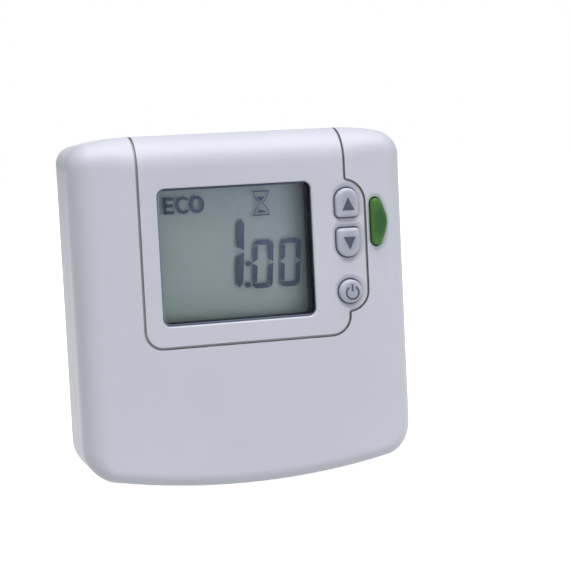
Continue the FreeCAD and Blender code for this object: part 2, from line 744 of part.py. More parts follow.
def swept_wire(points, bend, radius):
    """A round wire along a path of straight runs with tangent arcs of one radius."""
    corners = [Vector(*p) for p in points]
    edges, start = [], corners[0]
    for before, here, after in zip(corners, corners[1:], corners[2:]):
        a, b = (before - here).normalize(), (after - here).normalize()
        turn = math.pi - a.getAngle(b)
        reach = bend * math.tan(turn / 2)
        first, last = here + a * reach, here + b * reach
        middle = here + (a + b).normalize() * (bend / math.cos(turn / 2) - bend)
        edges.append(Part.LineSegment(start, first).toShape())
        edges.append(Part.Arc(first, middle, last).toShape())
        start = last
    edges.append(Part.LineSegment(start, corners[-1]).toShape())
    path = Part.Wire(edges)
    profile = Part.Wire(Part.makeCircle(radius, corners[0], corners[1] - corners[0]))
    return path.makePipeShell([profile], True, False)


def antenna():
    """A quarter-wave wire from the radio board, along the top of the case."""
    start_y, y = BOARD_BACK + 1.3, BOARD_BACK + 2.6
    right, left, high = 32.8, -30.0, 37.2
    route = (
        (right, start_y, 28.0),
        (right, y, 28.0),
        (right, y, high),
        (left, y, high),
        (left, y, 22.0),
    )
    return swept_wire(route, 1.2, 0.5)


def crystal():
    """A watch crystal lying on the board's back."""
    y, z = BOARD_BACK + 1.05, 27.0
    along = Vector(1, 0, 0)
    can = Part.makeCylinder(1.0, 6.0, Vector(-12.0, y, z), along)
    leads = [Part.makeCylinder(0.15, 2.0, Vector(-6.1, y, z + s * 0.4), along) for s in (-1, 1)]
    return fuse([can] + leads)


def capacitors():
    """Two can capacitors on square bases."""
    base_half, base_t, can_r, can_top = 2.2, 0.8, 2.0, 4.6
    parts = []
    for x, z in ((-26.0, 8.0), (-26.0, 14.5)):
        base = slab((x, x, z, z), BOARD_BACK, BOARD_BACK + base_t, grow=base_half)
        can = rod(can_r, x, z, BOARD_BACK + base_t - 0.1, BOARD_BACK + can_top)
        parts.append(fuse([base, can]))
    return group(parts)


def chip_parts():
    """Surface-mount resistors and capacitors round the controller."""
    spots = [(-20.0 + 3.2 * n, 6.0) for n in range(8)]
    spots += [(-20.0, 11.5 + 3.0 * n) for n in range(4)]
    spots += [(6.0 + 2.8 * n, 8.5) for n in range(5)]
    return group([box(x - 0.6, x + 0.6, BOARD_BACK, BOARD_BACK + 0.6, z - 1.0, z + 1.0) for x, z in spots])


def power_regulator():
    """A small power chip with three legs beside the battery tails."""
    body = box(28.5, 33.5, BOARD_BACK + 0.1, BOARD_BACK + 1.7, -3.0, 0.8)
    lefts = [29.0 + 1.7 * n for n in range(3)]
    legs = [box(x, x + 0.6, BOARD_BACK, BOARD_BACK + 0.4, -4.4, -2.9) for x in lefts]
    return fuse([body] + legs)


def temperature_sensor():
    """A bead thermistor that hangs below the board in the air from the bottom vents."""
    x, y, z = 36.0, (BOARD_FRONT + BOARD_BACK) / 2, -15.0
    bead = Part.makeSphere(1.3, Vector(x, y, z))
    lead_top = BOARD_BOTTOM - 0.05
    leads = [
        Part.makeCylinder(0.25, lead_top - z - 0.4, Vector(x + s * 0.8, y, z + 0.4), Vector(0, 0, 1))
        for s in (-1, 1)
    ]
    return fuse([bead] + leads)


# ---------- power ----------


def battery_tray():
    """The trough for two cells, open to the front, with an ear at each end."""
    outer = slab(TRAY, TRAY_FRONT, TRAY_BACK, 1.2)
    inner = slab(TRAY_ROOM, TRAY_FRONT - THROUGH, TRAY_FLOOR)
    divider = box(-22, 22, -10.5, TRAY_FLOOR + 0.4, -25.9, -24.0)
    ears = [box(s * 29.0, s * 36.2, *EAR_T, -28.0, -22.0) for s in (-1, 1)]
    hole_r = SCREW_R + SCREW_CLEAR
    ear_holes = [rod(hole_r, x, z, EAR_T[0] - 1, EAR_T[1] + 1) for x, z in TRAY_SCREWS]
    tail_slots = [box(27.6, 28.8, y0, y1, -12, -8) for y0, y1 in ((-15.6, -12.2), (-12.0, -9.2))]
    return cut(fuse([outer.cut(inner), divider] + ears), ear_holes + tail_slots)


def cell(z, direction):
    """An AA cell along X with its raised terminal towards direction."""
    tip = direction * (CONTACT_X - 0.05)
    nub_root = tip - direction * CELL_NUB
    axis = Vector(-direction, 0, 0)
    nub = Part.makeCylinder(CELL_NUB_R, CELL_NUB + 0.5, Vector(tip, CELL_Y, z), axis)
    can = Part.makeCylinder(CELL_R, CELL_BODY, Vector(nub_root, CELL_Y, z), axis)
    can = can.makeFillet(0.5, [e for e in can.Edges if len(e.Vertexes) == 1])
    return fuse([can, nub])


def contact_bridge():
    """The strip at the left end that joins the two cells, with a slot between them."""
    x = -CONTACT_X
    plate = box(x - CONTACT_T, x, CONTACT_FRONT, -11.0, -37.5, -12.5)
    return plate.cut(box(x - 1, x + 1, CONTACT_FRONT - THROUGH, -13.5, -26.2, -23.7))


def contact_tabs():
    """Two tabs at the right end, each with a tail up to the board."""
    near, far = CONTACT_X, CONTACT_X + CONTACT_T
    tail_top = BOARD_BOTTOM - 0.05
    upper = box(near, far, CONTACT_FRONT, -12.3, -23.5, -11.5)
    upper_tail = box(near, far, -15.2, -12.6, -12.0, tail_top)
    lower = box(near, far, CONTACT_FRONT, -9.6, -38.0, -26.5)
    lower_tail = box(near, far, -11.4, -9.6, -27.0, tail_top)
    return group([fuse([upper, upper_tail]), fuse([lower, lower_tail])])


def coil_spring(z, side):
    """A conical coil on the flat terminal's contact, from its plate to the cell."""
    plate_x = CONTACT_X - COIL_WIRE_R - COIL_CLEAR
    reach = 2 * CONTACT_X - (CELL_BODY + CELL_NUB) - 2 * COIL_WIRE_R - 0.15
    points = []
    for n in range(COIL_TURNS * COIL_STEPS + 1):
        share = n / (COIL_TURNS * COIL_STEPS)
        radius = COIL_WIDE_R + (COIL_NARROW_R - COIL_WIDE_R) * share
        angle = 2 * math.pi * n / COIL_STEPS
        x = side * (plate_x - reach * share)
        points.append((x, CELL_Y + radius * math.cos(angle), z + radius * math.sin(angle)))
    return swept_wire(points, COIL_NARROW_R * 0.85, COIL_WIRE_R)


def battery_springs():
    return group([coil_spring(CELL_Z[0], -1), coil_spring(CELL_Z[1], 1)])


# ---------- screws ----------


def screw(x, z, seat, direction, length):
    """A cross-head screw along Y: the head rests on Y = seat, and the shank goes towards direction."""
    face = seat - direction * HEAD_H
    head = rod(HEAD_R, x, z, seat, face)
    head = head.makeFillet(0.5, edges_at(head, face))
    shank = rod(SCREW_R, x, z, seat, seat + direction * length)
    floor = face + direction * CROSS_DEPTH
    cross = [box(x - w, x + w, face, floor, z - h, z + h) for w, h in ((1.1, 0.25), (0.25, 1.1))]
    return cut(fuse([head, shank]), cross)


def case_screws():
    return group([screw(x, z, BOARD_FRONT, 1, 5.5) for x, z in CASE_SCREWS])


def bezel_screws():
    return group([screw(x, z, BOARD_BACK, -1, 5.0) for x, z in BEZEL_SCREWS])


def tray_screws():
    return group([screw(x, z, EAR_T[0], 1, 2.6) for x, z in TRAY_SCREWS])


PARTS = {
    "wall_plate": wall_plate,
    "rear_case": rear_case,
    "front_cover": front_cover,
    "display_bezel": display_bezel,
    "display_surround": display_surround,
    "display_lens": display_lens,
    "front_polariser": lambda: sheet_behind_window(POLARISER_FRONT, GLASS_FRONT - FILM_BOND),
    "display_cell": display_cell,
    "rear_reflector": lambda: sheet_behind_window(GLASS_BACK + FILM_BOND, REFLECTOR_BACK),
    "light_guide": light_guide,
    "backlight_leds": backlight_leds,
    "display_holder": display_holder,
    "contact_strips": contact_strips,
    "up_key": lambda: key("up"),
    "down_key": lambda: key("down"),
    "power_key": lambda: key("power"),
    "eco_key": lambda: key("eco"),
    "key_guide": key_guide,
    "key_mat": key_mat,
    "contact_pills": contact_pills,
    "contact_pads": contact_pads,
    "circuit_board": circuit_board,
    "microcontroller": microcontroller,
    "radio_board": radio_board,
    "radio_shield": radio_shield,
    "antenna": antenna,
    "crystal": crystal,
    "capacitors": capacitors,
    "chip_parts": chip_parts,
    "power_regulator": power_regulator,
    "temperature_sensor": temperature_sensor,
    "battery_tray": battery_tray,
    "upper_cell": lambda: cell(CELL_Z[0], 1),
    "lower_cell": lambda: cell(CELL_Z[1], -1),
    "contact_bridge": contact_bridge,
    "contact_tabs": contact_tabs,
    "battery_springs": battery_springs,
    "case_screws": case_screws,
    "bezel_screws": bezel_screws,
    "tray_screws": tray_screws,
}

os.makedirs("parts", exist_ok=True)
for node, make in PARTS.items():
    shape = make()
    if not shape.isValid():
        raise ValueError(node + " is not a valid shape")
    shape.exportStep("parts/" + node + ".step")
    print(node, len(shape.Solids), "solid(s)", round(shape.Volume, 1), "mm3")
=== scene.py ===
import math

import bmesh
import bpy
from mathutils import Matrix, Vector


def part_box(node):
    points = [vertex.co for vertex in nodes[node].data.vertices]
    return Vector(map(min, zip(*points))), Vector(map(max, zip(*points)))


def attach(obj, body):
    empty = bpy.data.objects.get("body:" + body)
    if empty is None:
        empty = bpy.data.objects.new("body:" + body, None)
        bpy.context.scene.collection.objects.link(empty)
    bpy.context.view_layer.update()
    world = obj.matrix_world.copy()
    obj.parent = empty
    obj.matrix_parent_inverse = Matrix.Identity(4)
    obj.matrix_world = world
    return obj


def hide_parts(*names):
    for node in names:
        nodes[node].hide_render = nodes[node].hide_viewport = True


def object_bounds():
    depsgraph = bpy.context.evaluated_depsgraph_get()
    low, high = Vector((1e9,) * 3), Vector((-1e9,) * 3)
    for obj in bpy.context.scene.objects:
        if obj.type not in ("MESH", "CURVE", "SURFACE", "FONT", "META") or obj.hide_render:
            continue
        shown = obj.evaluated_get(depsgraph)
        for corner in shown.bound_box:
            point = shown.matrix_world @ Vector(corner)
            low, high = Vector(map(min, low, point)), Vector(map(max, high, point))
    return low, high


# A battery-powered wall timer: a moulded ABS room unit with a liquid crystal display and silicone keys.
# Metres, in the CAD frame: +X to the reader's right, +Y into the wall, +Z up.

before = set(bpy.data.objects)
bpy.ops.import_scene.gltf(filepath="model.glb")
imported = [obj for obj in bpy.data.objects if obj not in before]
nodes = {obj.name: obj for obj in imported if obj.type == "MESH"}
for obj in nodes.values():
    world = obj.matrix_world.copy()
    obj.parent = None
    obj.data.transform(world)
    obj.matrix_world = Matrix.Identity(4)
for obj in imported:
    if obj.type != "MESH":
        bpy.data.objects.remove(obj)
cad_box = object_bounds()

MM = 0.001


# ---------- colours and nodes ----------


def linear(code):
    """An sRGB hex colour as linear RGBA."""
    parts = [int(code[n : n + 2], 16) / 255 for n in (1, 3, 5)]
    return [p / 12.92 if p <= 0.04045 else ((p + 0.055) / 1.055) ** 2.4 for p in parts] + [1.0]


def add(tree, kind, settings=None, links=None):
    """Adds a node. A setting or link is named for an input, by name or number, or for a property."""
    node = tree.nodes.new(kind)
    for key, value in (settings or {}).items():
        if isinstance(key, str) and key not in node.inputs:
            setattr(node, key, value)
        else:
            node.inputs[key].default_value = value
    for key, socket in (links or {}).items():
        tree.links.new(socket, node.inputs[key])
    return node


def empty_material(name):
    """A material without nodes, and its tree."""
    material = bpy.data.materials.new(name)
    material.use_nodes = True
    material.node_tree.nodes.clear()
    return material, material.node_tree


def new_surface(name, colour, roughness, ior=1.5, settings=None):
    """A material with one Principled shader. Returns it, its tree, the shader and Object coordinates."""
    material, tree = empty_material(name)
    values = {"Base Color": linear(colour), "Roughness": roughness, "IOR": ior}
    values.update(settings or {})
    shader = add(tree, "ShaderNodeBsdfPrincipled", values)
    add(tree, "ShaderNodeOutputMaterial", links={"Surface": shader.outputs["BSDF"]})
    place = add(tree, "ShaderNodeTexCoord").outputs["Object"]
    return material, tree, shader, place


def per_metre(size_mm):
    """The texture scale that gives features of a size in millimetres."""
    return 1.0 / (size_mm * MM)


def two_tones(tree, socket, first, second, low=0.35, high=0.65):
    """A colour ramp between two sRGB colours."""
    ramp = add(tree, "ShaderNodeValToRGB", links={"Fac": socket})
    ramp.color_ramp.elements[0].position = low
    ramp.color_ramp.elements[0].color = linear(first)
    ramp.color_ramp.elements[1].position = high
    ramp.color_ramp.elements[1].color = linear(second)
    return ramp.outputs["Color"]


def multiplied(tree, first, second):
    """The product of two colours."""
    settings = {"data_type": "RGBA", "blend_type": "MULTIPLY", 0: 1.0}
    return add(tree, "ShaderNodeMix", settings, {6: first, 7: second}).outputs[2]


def bumped(tree, shader, height, distance_mm, strength=1.0):
    """Raises the shader's surface by a height of 0 to 1, as far as distance_mm."""
    settings = {"Strength": strength, "Distance": distance_mm * MM}
    bump = add(tree, "ShaderNodeBump", settings, {"Height": height})
    tree.links.new(bump.outputs["Normal"], shader.inputs["Normal"])


def spread(tree, socket, low, high):
    """A 0 to 1 value stretched to run from low to high."""
    links = {"Value": socket}
    return add(tree, "ShaderNodeMapRange", {"To Min": low, "To Max": high}, links).outputs["Result"]


# ---------- materials ----------


def moulded_abs(name, light, shade, roughness=0.4, grain_mm=0.55, dust_and_shade="#c9c4b8", specular=0.5):
    """Moulded ABS from a spark-eroded tool: an even satin skin with a fine grain, drawn twice as coarse as
    it is so that it shows, and slow changes of tone and gloss some centimetres across, from the melt's flow.
    Joints, grooves and inner corners are darkened towards a given tone by their ambient occlusion: painted
    shade, with a little dust."""
    settings = {"Specular IOR Level": specular}
    material, tree, shader, place = new_surface(name, light, roughness, 1.53, settings)
    flow = add(tree, "ShaderNodeTexNoise", {"Scale": per_metre(35), "Detail": 2.0}, {"Vector": place})
    skin = two_tones(tree, flow.outputs["Fac"], shade, light)
    # Painted shade with a little dust: ambient occlusion darkens joints, grooves and inner corners towards
    # the given tone.
    openness = add(tree, "ShaderNodeAmbientOcclusion", {"samples": 8, "Distance": 1.5 * MM})
    dust_and_crease_shade = two_tones(tree, openness.outputs["AO"], dust_and_shade, "#ffffff", 0.25, 0.75)
    fine = {"Scale": per_metre(grain_mm), "Detail": 3.0}
    grain = add(tree, "ShaderNodeTexNoise", fine, {"Vector": place})
    gloss = add(
        tree,
        "ShaderNodeMath",
        {"operation": "ADD"},
        {0: flow.outputs["Fac"], 1: grain.outputs["Fac"]},
    )
    rough = add(
        tree,
        "ShaderNodeMapRange",
        {"From Max": 2.0, "To Min": roughness - 0.05, "To Max": roughness + 0.05},
        {"Value": gloss.outputs[0]},
    )
    tree.links.new(multiplied(tree, skin, dust_and_crease_shade), shader.inputs["Base Color"])
    tree.links.new(rough.outputs["Result"], shader.inputs["Roughness"])
    bumped(tree, shader, grain.outputs["Fac"], 0.012, 0.6)
    return material


def black_abs():
    """Black ABS with little shine, so that it swallows light between the window and the display."""
    return moulded_abs("black_abs", "#0b0c10", "#07080b", 0.45, dust_and_shade="#9a9ca0", specular=0.2)


def coated_polycarbonate():
    """Clear polycarbonate with an anti-reflection coat: nearly all light passes, and it mirrors at a low
    angle. The moulded bevel round it isn't polished and scatters a little light. Its tone is painted light
    and shade by the way it faces: pale blue-grey where it faces left and down, black where it faces right."""
    material, tree = empty_material("coated_polycarbonate")
    place = add(tree, "ShaderNodeTexCoord").outputs["Object"]
    smear = add(tree, "ShaderNodeTexNoise", {"Scale": per_metre(6), "Detail": 2.0}, {"Vector": place})
    rough = spread(tree, smear.outputs["Fac"], 0.02, 0.07)
    mirror = add(tree, "ShaderNodeBsdfAnisotropic", {"Color": linear("#ffffff")}, {"Roughness": rough})
    clear = add(tree, "ShaderNodeBsdfTransparent", {"Color": linear("#f8fbfc")})
    coat = add(tree, "ShaderNodeFresnel", {"IOR": 1.13})
    polished_links = {0: coat.outputs["Fac"], 1: clear.outputs["BSDF"], 2: mirror.outputs["BSDF"]}
    polished = add(tree, "ShaderNodeMixShader", links=polished_links)
    normal = add(tree, "ShaderNodeNewGeometry").outputs["Normal"]
    forward = add(tree, "ShaderNodeSeparateXYZ", links={"Vector": normal}).outputs["Y"]
    flat = add(tree, "ShaderNodeMath", {"operation": "ABSOLUTE"}, {0: forward})
    slope = add(
        tree,
        "ShaderNodeMapRange",
        {"From Min": 0.95, "From Max": 0.75, "To Max": 0.75},
        {"Value": flat.outputs[0]},
    )
    # Painted light and shade: the bevel's tone runs from black where it faces right to pale blue-grey where
    # it faces left and down.
    brightest = {"operation": "DOT_PRODUCT", 1: (-0.9, 0.0, -0.25)}
    turned = add(tree, "ShaderNodeVectorMath", brightest, {0: normal})
    side = add(
        tree,
        "ShaderNodeMapRange",
        {"From Min": -0.5, "From Max": 0.1},
        {"Value": turned.outputs["Value"]},
    )
    bevel_painted_shade = two_tones(tree, side.outputs["Result"], "#040507", "#aebcd8", 0.0, 1.0)
    haze = add(tree, "ShaderNodeBsdfDiffuse", {"Roughness": 0.5}, {"Color": bevel_painted_shade})
    lens_links = {0: slope.outputs["Result"], 1: polished.outputs["Shader"], 2: haze.outputs["BSDF"]}
    lens = add(tree, "ShaderNodeMixShader", links=lens_links)
    add(tree, "ShaderNodeOutputMaterial", links={"Surface": lens.outputs["Shader"]})
    return material


def clear_sheet(name, tint, alpha, roughness):
    """A clear or tinted film, glass plate or light guide. Most light goes straight through it."""
    material, tree, shader, place = new_surface(name, tint, roughness, 1.49)
    haze = add(tree, "ShaderNodeTexNoise", {"Scale": per_metre(9), "Detail": 2.0}, {"Vector": place})
    share = spread(tree, haze.outputs["Fac"], alpha * 0.85, alpha * 1.15)
    tree.links.new(share, shader.inputs["Alpha"])
    return material


def transflective_film():
    """The grey-green film behind the liquid crystal: partly a dull mirror, with a fine mottle. Its tone is
    painted light, from a greener grey at the lower left to a lighter, bluer one at the upper right."""
    settings = {"Metallic": 0.3}
    material, tree, shader, place = new_surface("transflective_film", "#a4b4b3", 0.42, settings=settings)
    # Painted light: the film's tone grows lighter and bluer towards the upper right.
    light_grade_axis = add(tree, "ShaderNodeVectorMath", {"operation": "DOT_PRODUCT", 1: (0.7, 0.0, 0.7)}, {0: place})
    painted_light_drift = add(
        tree,
        "ShaderNodeMapRange",
        {"From Min": -16 * MM, "From Max": 34 * MM},
        {"Value": light_grade_axis.outputs["Value"]},
    )
    fine = add(tree, "ShaderNodeTexNoise", {"Scale": per_metre(0.5), "Detail": 2.0}, {"Vector": place})
    painted_light_tone = two_tones(tree, painted_light_drift.outputs["Result"], "#bdc8c4", "#cad2d9", 0.0, 1.0)
    fine_tone = two_tones(tree, fine.outputs["Fac"], "#f2f2f2", "#ffffff")
    tree.links.new(multiplied(tree, painted_light_tone, fine_tone), shader.inputs["Base Color"])
    return material


def liquid_crystal(low_z, high_z):
    """A switched segment of liquid crystal: dark blue-grey, with painted shade that makes it deeper at the
    foot and the left of the display than at its head and right."""
    material, tree, shader, place = new_surface("liquid_crystal", "#2a3046", 0.5)
    # Painted shade: the segments darken towards the foot and the left of the display, and lighten towards
    # the head and right.
    light_grade_axis = add(tree, "ShaderNodeVectorMath", {"operation": "DOT_PRODUCT", 1: (0.6, 0.0, 1.0)}, {0: place})
    share = add(
        tree,
        "ShaderNodeMapRange",
        {"From Min": low_z, "From Max": high_z},
        {"Value": light_grade_axis.outputs["Value"]},
    )
    tone = two_tones(tree, share.outputs["Result"], "#363b57", "#7080a8", 0.0, 1.0)
    tree.links.new(tone, shader.inputs["Base Color"])
    return material


def silicone(name, rim, middle, cloud_mm, roughness=0.42, centre=(0.0, 0.0), reach=None):
    """Coloured silicone rubber: light gets into it, and the glow of its thin rim is painted light, a paler
    tone than its middle.
    rim and middle are tones. They are blended by how far the surface has turned from facing forwards, and
    on a key also by the distance from its centre, as a share of reach. Both are (x, z) in millimetres."""
    settings = {"Subsurface Weight": 0.25, "Subsurface Scale": 0.6 * MM, "Sheen Weight": 0.08}
    material, tree, shader, place = new_surface(name, rim, roughness, 1.41, settings)
    normal = add(tree, "ShaderNodeNewGeometry").outputs["Normal"]
    forward = add(tree, "ShaderNodeSeparateXYZ", links={"Vector": normal}).outputs["Y"]
    flat = add(tree, "ShaderNodeMapRange", {"From Min": -1.0, "From Max": -0.55}, {"Value": forward})
    turned = flat.outputs["Result"]
    if reach:
        middle_at = (centre[0] * MM, 0.0, centre[1] * MM)
        shift = add(tree, "ShaderNodeVectorMath", {"operation": "SUBTRACT", 1: middle_at}, {0: place})
        flatten = {"operation": "MULTIPLY", 1: (1 / (reach[0] * MM), 0.0, 1 / (reach[1] * MM))}
        scaled = add(tree, "ShaderNodeVectorMath", flatten, {0: shift.outputs["Vector"]})
        far = add(tree, "ShaderNodeVectorMath", {"operation": "LENGTH"}, {0: scaled.outputs["Vector"]})
        outer = add(
            tree,
            "ShaderNodeMapRange",
            {"interpolation_type": "SMOOTHSTEP", "From Min": 0.3, "To Max": 0.9},
            {"Value": far.outputs["Value"]},
        )
        turned = add(
            tree,
            "ShaderNodeMath",
            {"operation": "MAXIMUM"},
            {0: turned, 1: outer.outputs["Result"]},
        ).outputs[0]
    soft = {"Scale": per_metre(cloud_mm), "Detail": 2.0}
    cloud = add(tree, "ShaderNodeTexNoise", soft, {"Vector": place})
    uneven = spread(tree, cloud.outputs["Fac"], -0.06, 0.06)
    share = add(tree, "ShaderNodeMath", {"operation": "ADD"}, {0: turned, 1: uneven})
    # Painted light: the paler rim tone, where the surface turns from facing forwards and towards a key's
    # edge, stands in for light glowing through thin rubber.
    tone = two_tones(tree, share.outputs[0], middle, rim, 0.0, 1.0)
    skin = add(tree, "ShaderNodeTexNoise", {"Scale": per_metre(0.3), "Detail": 2.0}, {"Vector": place})
    tree.links.new(tone, shader.inputs["Base Color"])
    bumped(tree, shader, skin.outputs["Fac"], 0.006, 0.4)
    return material


def key_silicone(key, name, rim, middle, roughness=0.42):
    """The silicone of one key, whose rim and middle are found from its own box."""
    low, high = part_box(key)
    centre = ((low.x + high.x) / 2 / MM, (low.z + high.z) / 2 / MM)
    reach = ((high.x - low.x) / 2 / MM, (high.z - low.z) / 2 / MM)
    return silicone(name, rim, middle, 3.0, roughness, centre, reach)


def pad_ink():
    """Pad-printed ink on silicone: matt grey, with the slight unevenness of a printed film."""
    material, tree, shader, place = new_surface("pad_ink", "#555a69", 0.6)
    film = add(tree, "ShaderNodeTexNoise", {"Scale": per_metre(0.5), "Detail": 2.0}, {"Vector": place})
    tree.links.new(two_tones(tree, film.outputs["Fac"], "#4a5063", "#565c6f"), shader.inputs["Base Color"])
    return material


def carbon_rubber():
    """Carbon-loaded silicone: dead black and matt, with a grainy moulded skin."""
    material, tree, shader, place = new_surface("carbon_rubber", "#141416", 0.75, 1.41)
    grain = add(tree, "ShaderNodeTexNoise", {"Scale": per_metre(0.25), "Detail": 3.0}, {"Vector": place})
    bumped(tree, shader, grain.outputs["Fac"], 0.02)
    return material


def plain_metal(name, bright, dull, roughness, grain_mm, stretch=(1.0, 1.0, 1.0)):
    """A bright metal: tone and gloss change along its rolling, drawing or plating marks, set by stretch."""
    material, tree, shader, place = new_surface(name, bright, roughness, settings={"Metallic": 1.0})
    along = add(tree, "ShaderNodeMapping", {"Scale": stretch}, {"Vector": place})
    marks = add(
        tree,
        "ShaderNodeTexNoise",
        {"Scale": per_metre(grain_mm), "Detail": 4.0},
        {"Vector": along.outputs["Vector"]},
    )
    tree.links.new(two_tones(tree, marks.outputs["Fac"], dull, bright), shader.inputs["Base Color"])
    rough = spread(tree, marks.outputs["Fac"], roughness - 0.08, roughness + 0.1)
    tree.links.new(rough, shader.inputs["Roughness"])
    bumped(tree, shader, marks.outputs["Fac"], 0.004)
    return material


def solder_mask():
    """Green solder mask over copper: the tracks show as slightly raised, lighter lines 0.5 mm wide."""
    material, tree, shader, place = new_surface("solder_mask", "#11532a", 0.32)
    settings = {
        "Scale": per_metre(10),
        "Brick Width": 0.55,
        "Row Height": 0.17,
        "Mortar Size": 0.022,
        "Mortar Smooth": 0.1,
        "Color1": (0.0, 0.0, 0.0, 1.0),
        "Color2": (0.0, 0.0, 0.0, 1.0),
        "Mortar": (1.0, 1.0, 1.0, 1.0),
    }
    lie = add(tree, "ShaderNodeMapping", {"Rotation": (math.pi / 2, 0.0, 0.0)}, {"Vector": place})
    tracks = add(tree, "ShaderNodeTexBrick", settings, {"Vector": lie.outputs["Vector"]})
    tone = two_tones(tree, tracks.outputs["Fac"], "#0f4a25", "#1f7a3d")
    tree.links.new(tone, shader.inputs["Base Color"])
    bumped(tree, shader, tracks.outputs["Fac"], 0.035)
    return material


def moulded_epoxy(name, light, dark):
    """Filled epoxy from a mould: matt, with a sandy skin."""
    material, tree, shader, place = new_surface(name, light, 0.6)
    sand = add(tree, "ShaderNodeTexNoise", {"Scale": per_metre(0.2), "Detail": 3.0}, {"Vector": place})
    tree.links.new(two_tones(tree, sand.outputs["Fac"], dark, light), shader.inputs["Base Color"])
    bumped(tree, shader, sand.outputs["Fac"], 0.01)
    return material


def cell_sleeve(tip_x, band_x):
    """A battery's printed foil sleeve, glossy: a dark body and a bright band at its positive end."""
    settings = {"Coat Weight": 0.6, "Coat Roughness": 0.12}
    material, tree, shader, place = new_surface("cell_sleeve", "#2c333d", 0.38, settings=settings)
    across = add(tree, "ShaderNodeSeparateXYZ", links={"Vector": place}).outputs["X"]
    band = add(
        tree,
        "ShaderNodeMapRange",
        {"From Min": band_x, "From Max": band_x + math.copysign(0.3 * MM, tip_x)},
        {"Value": across},
    )
    flake = add(tree, "ShaderNodeTexNoise", {"Scale": per_metre(0.4), "Detail": 2.0}, {"Vector": place})
    dark = two_tones(tree, flake.outputs["Fac"], "#262c36", "#323a46")
    bright = two_tones(tree, flake.outputs["Fac"], "#c9a05a", "#d8b26c")
    mixed = add(
        tree,
        "ShaderNodeMix",
        {"data_type": "RGBA"},
        {0: band.outputs["Result"], 6: dark, 7: bright},
    )
    tree.links.new(mixed.outputs[2], shader.inputs["Base Color"])
    tree.links.new(spread(tree, band.outputs["Result"], 0.1, 0.9), shader.inputs["Metallic"])
    return material


def phosphor_package():
    """A side-view light diode: white plastic round a yellow phosphor window."""
    material, tree, shader, place = new_surface("phosphor_package", "#efe6b8", 0.35)
    grain = add(tree, "ShaderNodeTexNoise", {"Scale": per_metre(0.6)}, {"Vector": place})
    tree.links.new(two_tones(tree, grain.outputs["Fac"], "#f4f2ea", "#e9d884"), shader.inputs["Base Color"])
    return material


# ---------- mesh helpers ----------


def finish_piece(name, mesh, material, body):
    """Links a mesh as a piece that moves with a CAD body."""
    piece = bpy.data.objects.new(name, mesh)
    bpy.context.scene.collection.objects.link(piece)
    mesh.materials.clear()
    mesh.materials.append(material)
    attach(piece, body)
    return piece


def plate(shape, points, y0, y1):
    """A flat plate: an outline of (x, z) points in millimetres, from y0 back to y1."""
    front = [shape.verts.new((x * MM, y0 * MM, z * MM)) for x, z in points]
    back = [shape.verts.new((x * MM, y1 * MM, z * MM)) for x, z in points]
    shape.faces.new(front)
    shape.faces.new(back[::-1])
    for n in range(len(points)):
        m = (n + 1) % len(points)
        shape.faces.new((front[n], back[n], back[m], front[m]))


def ribbon(shape, points, width, y0, y1, closed=False):
    """A flat line of one width along (x, z) points in millimetres, from y0 back to y1."""
    rails = []
    for n, (x, z) in enumerate(points):
        before = points[n - 1] if n or closed else points[n]
        after = points[(n + 1) % len(points)] if n + 1 < len(points) or closed else points[n]
        heading = Vector((after[0] - before[0], after[1] - before[1])).normalized()
        side = Vector((-heading.y, heading.x)) * width / 2
        corners = [(x + side.x, z + side.y), (x - side.x, z - side.y)]
        rails.append([shape.verts.new((cx * MM, y * MM, cz * MM)) for y in (y0, y1) for cx, cz in corners])
    count = len(rails) if closed else len(rails) - 1
    for n in range(count):
        a, b = rails[n], rails[(n + 1) % len(rails)]
        for i, j in ((0, 1), (1, 3), (3, 2), (2, 0)):
            shape.faces.new((a[i], a[j], b[j], b[i]))
    if not closed:
        for end in (rails[0], rails[-1]):
            shape.faces.new((end[0], end[1], end[3], end[2]))


def arc_points(x, z, radius_x, radius_z, first, last, steps):
    """Points on an ellipse, at angles in degrees from +X towards +Z."""
    angles = [math.radians(first + (last - first) * n / steps) for n in range(steps + 1)]
    return [(x + radius_x * math.cos(t), z + radius_z * math.sin(t)) for t in angles]


def to_mesh(shape, name):
    bmesh.ops.recalc_face_normals(shape, faces=shape.faces)
    mesh = bpy.data.meshes.new(name)
    shape.to_mesh(mesh)
    shape.free()
    return mesh


# ---------- what the display shows ----------

LEAN = 0.07  # the characters lean to the right by this much for each unit of height
LAYER = (-19.325, -19.275)  # the liquid crystal layer, inside the cell
FOOT_Z = 4.35


def leaning(points):
    """Leans an outline about the characters' foot line."""
    return [(x + LEAN * (z - FOOT_Z), z) for x, z in points]


def zero_segments(left, foot, width, height, stroke, gap):
    """The six outlines of a zero. Its two bars turn the rounded left-hand corners, its uprights the right
    ones, and thin gaps part them. The uprights meet a little above the middle, in points at the outside."""
    right, top = left + width, foot + height
    bend = 1.45  # the corners' outer radius
    middle = foot + height / 2 + 0.36
    bar, wedge, droop = stroke * 1.06, stroke * 0.6, 0.1
    outlines = []
    for face, edge in ((1, top), (-1, foot)):
        inner, meeting = edge - face * bar, middle + face * gap / 2
        bend_z = edge - face * bend
        bar_outline = [(left, inner - face * droop)]
        bar_outline += arc_points(left + bend, bend_z, bend, bend, 180, 180 - face * 90, 6)
        bar_outline += [
            (right - bend / 2 - gap, edge),
            (right - stroke - gap * 0.6, inner),
            (left + stroke, inner),
        ]
        left_upright = [
            (left, inner - face * (droop + gap)),
            (left + stroke, inner - face * gap),
            (left + stroke, meeting + face * wedge),
            (left, meeting),
        ]
        right_upright = arc_points(right - bend, bend_z, bend, bend, 0, face * 60, 5)
        right_upright += [
            (right - stroke, inner - face * gap * 0.3),
            (right - stroke, meeting + face * wedge),
            (right, meeting),
        ]
        outlines += [bar_outline, left_upright, right_upright]
    return outlines


